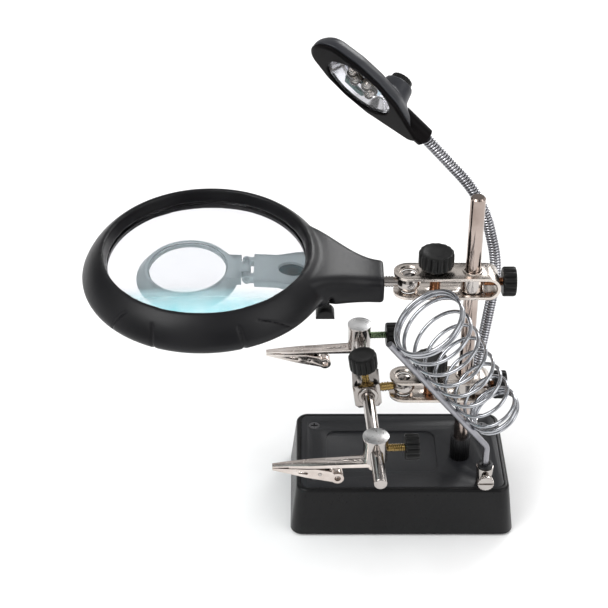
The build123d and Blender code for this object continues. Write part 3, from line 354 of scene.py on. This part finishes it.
def melted(node, material, voxel, rounds, softness=None, carve=None):
    """Copy of a CAD node whose creases are blended into one moulded form, standing for the node.

    voxel is the mesh size in mm and rounds the number of smoothing steps. softness gives each
    vertex's share of the smoothing, and carve changes the vertices at the end.
    """
    bm = bmesh.new()
    bm.from_mesh(nodes[node].data)
    bmesh.ops.remove_doubles(bm, verts=bm.verts, dist=WELD)
    mesh = bpy.data.meshes.new(node + "_work")
    bm.to_mesh(mesh)
    bm.free()
    obj = bpy.data.objects.new(node + "_work", mesh)
    bpy.context.collection.objects.link(obj)
    remesh = obj.modifiers.new("remesh", "REMESH")
    remesh.mode = "VOXEL"
    remesh.voxel_size = voxel * MM
    baked = bpy.data.meshes.new_from_object(obj.evaluated_get(bpy.context.evaluated_depsgraph_get()))
    bpy.data.objects.remove(obj)
    baked.name = node + "_piece"
    baked.materials.clear()
    places = np.array([v.co for v in baked.vertices])
    ends = np.array([e.vertices for e in baked.edges])
    count = np.bincount(ends.ravel(), minlength=len(places))[:, None]
    share = 0.5 * (softness(places)[:, None] if softness else 1.0)
    for _ in range(rounds):
        total = np.stack([np.bincount(ends[:, 0], places[ends[:, 1], k], len(places))
                          + np.bincount(ends[:, 1], places[ends[:, 0], k], len(places))
                          for k in range(3)], 1)
        places = places + share * (total / count - places)
    baked.vertices.foreach_set("co", places.ravel())
    baked.update()
    if carve:
        normals = np.array([v.normal for v in baked.vertices])
        baked.vertices.foreach_set("co", carve(places, normals).ravel())
        baked.update()
    stands_for(add_piece(node + "_piece", baked, node_body[node], [material], 60), node)


def grid_mesh(name, rows, slots=None):
    """Closed tube over rows of points, with a cap at each end. slots gives each band's material."""
    columns = len(rows[0])
    verts = [p for row in rows for p in row]
    faces = []
    marks = []
    for r in range(len(rows) - 1):
        for c in range(columns):
            d = (c + 1) % columns
            faces.append((r * columns + c, r * columns + d, (r + 1) * columns + d, (r + 1) * columns + c))
            marks.append(slots[r] if slots else 0)
    faces.append(tuple(reversed(range(columns))))
    marks.append(slots[0] if slots else 0)
    last = (len(rows) - 1) * columns
    faces.append(tuple(last + c for c in range(columns)))
    marks.append(slots[-1] if slots else 0)
    mesh = bpy.data.meshes.new(name)
    mesh.from_pydata([tuple(v) for v in verts], [], faces)
    for polygon, mark in zip(mesh.polygons, marks):
        polygon.material_index = mark
    return mesh


def basis(direction):
    """Two unit vectors across a direction."""
    d = direction.normalized()
    side = d.cross(Vector((0, 0, 1)))
    if side.length < 0.1:
        side = d.cross(Vector((0, 1, 0)))
    side.normalize()
    return side, d.cross(side)


# ------------------------------------------------------------------ thumb screws


def thumb_screw(node, joint, screw_material, flutes):
    """Threaded screw with a fluted knob, measured off its CAD node."""
    pitch = 0.8 * MM
    thread_depth = 0.28 * MM
    tip = 0.15 * MM
    along = Vector(joints[joint]["axis"]).normalized()
    origin = Vector(joints[joint]["pos_m"])
    side, other = basis(along)
    spans = []
    for vertex in nodes[node].data.vertices:
        offset = vertex.co - origin
        t = offset.dot(along)
        spans.append((t, (offset - along * t).length))
    knob_radius = max(r for t, r in spans)
    start = min(t for t, r in spans)
    end = max(t for t, r in spans)
    knob_start = min(t for t, r in spans if r > knob_radius * 0.9)
    screw_radius = max(r for t, r in spans if t < start + 0.5 * MM)
    hub_start = min(t for t, r in spans if r > screw_radius * 1.3)
    columns = flutes * 10
    rows = []
    slots = []

    def ring(t, radius, flute=0.0, thread=False):
        """Points round the screw at a distance along it."""
        points = []
        for c in range(columns):
            a = 2 * pi * c / columns
            r = radius
            if flute:
                r = radius * (1 - flute * (1 - abs(sin(flutes * a / 2)) ** 0.8))
            if thread:
                phase = (t / pitch - c / columns) % 1.0
                r = radius - thread_depth * abs(2 * phase - 1)
            points.append(origin + along * t + side * (r * cos(a)) + other * (r * sin(a)))
        return points

    steps = max(int((hub_start - start) / (pitch / 5)), 4)
    rows.append(ring(start, screw_radius * 0.8))
    slots.append(0)
    for step in range(steps + 1):
        t = start + tip + (hub_start - start - tip) * step / steps
        rows.append(ring(t, screw_radius, thread=True))
        slots.append(0)
    if knob_start - hub_start > 0.5 * MM:
        hub = knob_radius * 0.6
        rows += [ring(hub_start, hub * 0.9), ring(hub_start + 0.35 * MM, hub), ring(knob_start, hub * 1.04)]
        slots += [1, 1, 1]
    height = end - knob_start
    # share of the knob's height, share of its radius, depth of the flutes
    profile = ((0.0, 0.80, 0.0), (0.0, 0.90, 0.02), (0.05, 0.97, 0.07), (0.13, 1.0, 0.11),
               (0.5, 1.0, 0.12), (0.84, 1.0, 0.11), (0.94, 0.972, 0.09), (0.985, 0.93, 0.04),
               (1.0, 0.86, 0.0), (1.0, 0.72, 0.0), (0.975, 0.66, 0.0), (0.97, 0.3, 0.0))
    for share, radius, flute in profile:
        rows.append(ring(knob_start + share * height, radius * knob_radius, flute))
        slots.append(1)
    mesh = grid_mesh(node + "_piece", rows, slots[1:] + [1])
    piece = add_piece(node + "_piece", mesh, node_body[node], [screw_material, knob_black], 50)
    stands_for(piece, node)


thumb_screw("upper_side_knob", "upper_side_knob_turn", copper, 14)
thumb_screw("lower_side_knob", "lower_side_knob_turn", copper, 14)
thumb_screw("upper_ball_knob", "upper_ball_knob_turn", copper, 16)
thumb_screw("lower_ball_knob", "lower_ball_knob_turn", copper, 16)
thumb_screw("fitting_knob", "fitting_knob_turn", brass, 15)
thumb_screw("rear_block_knob", "rear_block_knob_turn", green_brass, 14)
thumb_screw("front_block_knob", "front_block_knob_turn", brass, 14)

# ------------------------------------------------------------------ magnifier
# The magnifier's own axes: x along the handle, y across it, z up out of the lens.
head_origin = np.array(joints["magnifier_yaw"]["pos_m"])
head_y = -np.array(joints["auxiliary_lens_flip"]["axis"])
head_x = np.array((1.0, 0.0, 0.0))
head_z = np.cross(head_x, head_y)
head_axes = np.stack([head_x, head_y, head_z])
lens_low, lens_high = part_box("main_lens")
ring_x = (lens_low[0] + lens_high[0]) / 2 / MM


def head_point(x, y, z):
    """Place in the scene of a point in the magnifier's own millimetres."""
    return Vector(head_origin + (head_axes.T @ np.array((x, y, z))) * MM)


def head_places(places):
    """Vertices in the magnifier's own millimetres."""
    return (places - head_origin) @ head_axes.T / MM


def near_handle(places):
    """Share of smoothing: whole where the handle runs into the ring, little on the ring itself."""
    ring_share, ring_end, handle_end = 0.22, -54, -14
    x = head_places(places)[:, 0]
    into_handle = np.clip((x - ring_end) / 8, 0, 1)
    return ring_share + (1 - ring_share) * into_handle * np.clip((handle_end - x) / 4, 0, 1)


# angle at the top and at the foot in degrees, height of the foot and of the top in mm
grip_lines = ((-113.5, -111.5, 3.0, 14.0), (-72.0, -70.5, 3.0, 14.0), (-129.0, -134.5, 5.0, 14.5),
              (-62.0, -47.0, 7.0, 14.5))


def grip_grooves(places, normals):
    """Shallow moulded lines down the front of the skirt."""
    line_depth, line_width, fade_height, skirt_radius = 0.75, 0.6, 1.5, 51
    local = head_places(places)
    angle = np.degrees(np.arctan2(local[:, 1], local[:, 0] - ring_x))
    radius = np.hypot(local[:, 1], local[:, 0] - ring_x)
    depth = np.zeros(len(places))
    for top_angle, foot_angle, foot, top in grip_lines:
        share = np.clip((top - local[:, 2]) / (top - foot), 0, 1)
        line = top_angle + (foot_angle - top_angle) * share ** 0.62
        off = np.radians(angle - line) * radius
        ends = (np.clip((local[:, 2] - foot + 1) / fade_height, 0, 1)
                * np.clip((top + 1 - local[:, 2]) / fade_height, 0, 1))
        depth = np.maximum(depth, line_depth * np.exp(-(off / line_width) ** 2) * ends)
    depth[radius < skirt_radius] = 0
    return places - normals * depth[:, None] * MM


melted("magnifier_frame", frame_black, 0.62, 26, near_handle, grip_grooves)


def lens(node, glass, columns=96, rings=20):
    """Smooth double-convex lens through the crowns and rims of its CAD node."""
    places = head_places(np.array([v.co for v in nodes[node].data.vertices]))
    centre = (places[:, 0].min() + places[:, 0].max()) / 2
    radius = np.hypot(places[:, 0] - centre, places[:, 1])
    edge = radius.max()
    at_rim = places[radius > edge - 0.4, 2]
    top, foot = places[:, 2].max(), places[:, 2].min()
    rows = []
    for side, crown, rim in ((1, top, at_rim.max()), (-1, foot, at_rim.min())):
        shares = [k / rings for k in range(rings + 1)]
        if side < 0:
            shares.reverse()
        for share in shares:
            r = max(share, 0.002) * edge  # the crown's row is tiny, not a single point
            z = crown + (rim - crown) * share ** 2
            turns = [2 * pi * c / columns for c in range(columns)]
            rows.append([head_point(centre + r * cos(a), r * sin(a), z) for a in turns])
    mesh = grid_mesh(node + "_piece", rows)
    mesh.flip_normals()
    stands_for(add_piece(node + "_piece", mesh, node_body[node], [glass], 35), node)


lens("main_lens", lens_glass)
lens("auxiliary_lens", small_lens_glass, 72, 14)

# Light guide: a thin sheet at the front of the main lens, seen as the cyan light, which its emission paints
# as a glow; no lamp lights it.
# It is clear at guide_start, and its cover grows towards the rim.
guide_painted_glow, make, join, shader = surface("light_guide")
where = make("ShaderNodeTexCoord")
away = make("ShaderNodeVectorMath", operation="DOT_PRODUCT")
away.inputs[1].default_value = -head_y
join(where.outputs["Object"], away.inputs[0])
guide_start = -float(head_y @ head_origin) + 15 * MM
fade = ranged(make, join, away.outputs["Value"], 0.0, 0.8, guide_start, guide_start + 20 * MM)
join(fade, shader.inputs["Alpha"])
cloud = noise_field(make, join, 90, 2)
drifting(make, join, shader.inputs["Base Color"], cloud, (0.45, 0.85, 0.88), (0.75, 0.97, 0.98))
# The emission paints a cyan glow on the guide; no lamp in the scene lights it.
drifting(make, join, shader.inputs["Emission Color"], cloud, (0.30, 0.80, 0.85), (0.65, 0.95, 0.97))
shader.inputs["Emission Strength"].default_value = 0.6
join(ranged(make, join, noise_field(make, join, 900, 2), 0.3, 0.45), shader.inputs["Roughness"])
guide_steps = 64
guide_radius = 48.6
guide_chord = -14
guide_rows = []
for step in range(guide_steps + 1):
    angle = radians(-163 + 146 * step / guide_steps)
    x, y = ring_x + guide_radius * cos(angle), guide_radius * sin(angle)
    guide_rows.append([head_point(x, y, 7.6), head_point(x, guide_chord, 6.9),
                       head_point(x, guide_chord, 6.6), head_point(x, y, 7.3)])
guide = add_piece("light_guide", grid_mesh("light_guide", guide_rows), "magnifier", [guide_painted_glow])


def turned(name, origin, along, profile, body, material, columns=40, squeeze=1.0, side=None):
    """Piece turned about a line: profile is (distance along, radius) in millimetres.

    squeeze narrows the piece across its side direction.
    """
    side = side or basis(along)[0]
    other = along.cross(side)
    rows = [[origin + along * (t * MM) + side * (r * MM * cos(2 * pi * c / columns))
             + other * (r * MM * squeeze * sin(2 * pi * c / columns)) for c in range(columns)]
            for t, r in profile]
    return add_piece(name, grid_mesh(name, rows), body, [material], 35)


up = Vector(head_z)
head_led_x = -54.5
seat = turned("led_seat_plate", head_point(head_led_x, 0, 4.82), up,
              ((0, 5.9), (0.25, 6.0), (0.35, 5.6), (0.2, 4.4), (0.15, 1.0)),
              "magnifier", teal, 48, 0.77, Vector(head_x))
bulb = turned("head_led", head_point(head_led_x, -0.8, 4.9), up,
              ((0, 2.0), (0.3, 2.0), (0.35, 1.6), (0.9, 1.55), (1.2, 1.2), (1.35, 0.5), (1.38, 0.05)),
              "magnifier", led_glass)

# ------------------------------------------------------------------ gooseneck
# Corners of the hose's line: x and height in mm, and the radius of the arc there.
bends = ((35.4, 34.0, 0), (44.8, 122.0, 75.0), (35.0, 160.0, 70.0), (7.0, 191.5, 0))
hose_y = joints["hose_bend_base"]["pos_m"][1]
hose_radius = 2.8
valley_depth = 0.6
wind_pitch = 1.5
ring_spacing = 0.15
arc_steps = 80


def rounded_line(corners, spacing):
    """Evenly spaced points along a line whose corners are arcs of the radius given with them."""
    points = [Vector((corners[0][0], corners[0][1]))]
    for before, here, after in zip(corners, corners[1:], corners[2:]):
        corner = Vector(here[:2])
        back = (Vector(before[:2]) - corner).normalized()
        ahead = (Vector(after[:2]) - corner).normalized()
        half = back.angle(ahead) / 2
        to_arc = here[2] / tan(half)
        middle = corner + (back + ahead).normalized() * (here[2] / sin(half))
        first = corner + back * to_arc - middle
        last = corner + ahead * to_arc - middle
        sweep = first.angle_signed(last)
        for step in range(arc_steps + 1):
            a = -sweep * step / arc_steps
            points.append(middle + Vector((first.x * cos(a) - first.y * sin(a),
                                           first.x * sin(a) + first.y * cos(a))))
    points.append(Vector(corners[-1][:2]))
    even = [points[0]]
    run = 0.0
    wanted = spacing
    for a, b in zip(points, points[1:]):
        length = (b - a).length
        while length > 0 and run + length >= wanted:
            even.append(a.lerp(b, (wanted - run) / length))
            wanted += spacing
        run += length
    return [Vector((p.x * MM, hose_y, p.y * MM)) for p in even]


hose_line = rounded_line(bends, ring_spacing)


def hose_place(joint):
    """Number of the hose line's point nearest to a joint."""
    at = Vector(joints[joint]["pos_m"])
    return min(range(len(hose_line)), key=lambda k: (hose_line[k] - at).length)


def off_crest(ring, turn):
    """How far a place on the hose is from the winding's crest: 0 on the crest, 1 in the valley."""
    return abs(2 * ((ring * ring_spacing / wind_pitch + turn) % 1.0) - 1)


# Four lengths of hose, one for each joint it bends over, meeting halfway between the joints. The
# last two both stand for the upper stretch.
bend_rings = [hose_place(j) for j in ("hose_bend_base", "hose_bend_low", "hose_bend_high", "lamp_tilt")]
middles = [0] + [(a + b) // 2 for a, b in zip(bend_rings, bend_rings[1:])] + [len(hose_line) - 1]
hose_nodes = ("hose_lower", "hose_middle", "hose_upper", "hose_upper")
columns = 28
for number in range(4):
    first, last = middles[number], middles[number + 1]
    rows = []
    for k in range(first, last + 1):
        ahead = (hose_line[min(k + 1, len(hose_line) - 1)] - hose_line[max(k - 1, 0)]).normalized()
        across = Vector((0, 1, 0))
        out_of = ahead.cross(across)
        row = []
        for c in range(columns):
            a = 2 * pi * c / columns
            r = (hose_radius - valley_depth * off_crest(k, c / columns) ** 1.6) * MM
            row.append(hose_line[k] + across * (r * cos(a)) + out_of * (r * sin(a)))
        rows.append(row)
    name = f"hose_winding_{number + 1}"
    winding = add_piece(name, grid_mesh(name, rows), None, [hose_metal, hose_groove_painted_shade], 60)
    # Faces deep in the valleys take the dark metal, as painted shade in the grooves.
    for index, polygon in enumerate(winding.data.polygons):
        away = off_crest(first + index // columns + 0.5, (index % columns + 0.5) / columns)
        polygon.material_index = int(away > 0.72)
    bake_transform(winding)
    stands_for(winding, hose_nodes[number])

# ------------------------------------------------------------------ lamp
glass = [v.co.copy() for v in nodes["lamp_window"].data.vertices]
window_middle = sum(glass, Vector()) / len(glass)
lamp_out = Vector(joints["lamp_switch_press"]["axis"]).normalized()
far = max(glass, key=lambda p: (p - window_middle).length) - window_middle
lamp_along = (far - lamp_out * far.dot(lamp_out)).normalized()
if lamp_along.z < 0:
    lamp_along = -lamp_along
lamp_across = lamp_out.cross(lamp_along)
switch_places = np.array([v.co for v in nodes["lamp_switch"].data.vertices])
switch_middle = switch_places.mean(0)


def crisp_boss(places):
    """Share of smoothing: little round the push switch, whole elsewhere."""
    boss_radius, boss_height = 7.2, 4
    out_of = np.array(lamp_out)
    off = places - switch_middle
    aside = np.linalg.norm(off - np.outer(off @ out_of, out_of), axis=1) / MM
    high = (off @ out_of) / MM < boss_height
    return np.where((aside < boss_radius) & high, 0.12, 1.0)


melted("lamp_upper_shell", lamp_slate, 0.42, 18, crisp_boss)
melted("lamp_lower_shell", lamp_dark, 0.36, 4)


def lamp_point(x, y, h):
    """Point in the lamp's own millimetres: along the window, across it and out of it, from its middle."""
    return window_middle + (lamp_along * x + lamp_across * y + lamp_out * h) * MM


bulb_profile = ((-5.0, 2.2), (-4.9, 2.65), (-4.3, 2.65), (-4.2, 2.3), (-2.8, 2.28), (-2.0, 2.05),
                (-1.4, 1.5), (-1.05, 0.8), (-0.95, 0.05))
cup_profile = ((-5.1, 1.5), (-4.4, 1.3), (-3.4, 1.1), (-3.1, 0.9), (-3.3, 0.4), (-3.4, 0.05))
ring_profile = ((-5.2, 2.4), (-5.15, 2.9), (-4.6, 2.9), (-4.5, 2.7), (-4.6, 2.4))
lamp_led_places = ((-7.6, 4.2), (-2.9, 0.6), (1.8, 4.2), (6.4, 0.6))
for number, (x, y) in enumerate(lamp_led_places, 1):
    place = lamp_point(x, y, 0.35)
    bulb = turned(f"lamp_led_{number}", place, lamp_out, bulb_profile, "lamp", led_glass)
    stands_for(bulb, "lamp_leds")
    cup = turned(f"lamp_led_cup_{number}", place, lamp_out, cup_profile, "lamp", nickel)
    ring = turned(f"lamp_led_ring_{number}", place, lamp_out, ring_profile, "lamp", led_brown)
board_size = (11, 3.4, 0.9)
board = bmesh.new()
bmesh.ops.create_cube(board, size=1)
bmesh.ops.scale(board, vec=board_size, verts=board.verts)
bmesh.ops.bevel(board, geom=board.edges, offset=0.3, segments=2, affect="EDGES")
for vertex in board.verts:
    vertex.co = lamp_point(vertex.co.x - 1.5, vertex.co.y + 8.0, vertex.co.z - 2.3)
board_mesh = bpy.data.meshes.new("lamp_board")
board.to_mesh(board_mesh)
board.free()
add_piece("lamp_board", board_mesh, "lamp", [board_green])

# ------------------------------------------------------------------ CAD shapes, edged and plain
for node, material, width in (
        ("base_shell", base_black, 0.5), ("base_top_plate", base_grey, 0.4),
        ("pole_collar", oxide_black, 0.25),
        ("upper_bracket", nickel_strip, 0.3), ("lower_bracket", nickel_strip, 0.3),
        ("fitting_block", nickel, 0.5), ("rod_bush", nickel, 0.3), ("iron_socket", nickel, 0.3),
        ("socket_bush", oxide_black, 0.2), ("socket_screw", nickel, 0.2), ("hose_gland", nickel, 0.3),
        ("rear_clip_block", nickel, 0.35), ("front_clip_block", nickel, 0.35),
        ("rear_upper_jaw", jaw_metal, 0.2), ("front_upper_jaw", jaw_metal, 0.2),
        ("rear_lower_jaw", jaw_metal, 0.2), ("front_lower_jaw", jaw_metal, 0.2),
        ("rear_clip_pin", nickel, 0.15), ("front_clip_pin", nickel, 0.15),
        ("battery_door", base_black, 0.3), ("bottom_cover", base_black, 0.3),
        ("magnifier_switch", knob_black, 0.4), ("lamp_switch", knob_black, 0.35),
        ("led_arm", frosted, 0.3), ("auxiliary_frame", frosted, 0.3), ("cross_rod", nickel, 0.25)):
    edged(node, material, width)

# The clip blocks' domed tops take a bright, mottled metal on their upward faces: a painted highlight.
cap_height = 1.6 * MM
for node in ("rear_clip_block", "front_clip_block"):
    block = bpy.data.objects[node + "_piece"]
    block.data.materials.append(painted_highlight_cap)
    crown = max(v.co.z for v in block.data.vertices) - cap_height
    for polygon in block.data.polygons:
        if polygon.normal.z > 0.6 and polygon.center.z > crown:
            polygon.material_index = 1

for node, material in (
        ("base_screws", screw_steel), ("ballast_weight", iron_grey), ("battery_holder", inner_grey),
        ("battery_contacts", nickel), ("non_slip_pad", rubber_black), ("dc_jack", lamp_dark),
        ("pole", pole_metal), ("upper_pole_bush", nickel), ("lower_pole_bush", nickel),
        ("upper_ball", nickel), ("lower_ball", nickel), ("upper_stud", nickel), ("lower_stud", brass),
        ("lens_retainer", frame_black),
        ("holder_rod", rod_grey), ("holder_coil", wire_chrome), ("lamp_reflector", mirror),
        ("lamp_window", window_clear)):
    finish_node(node, material)
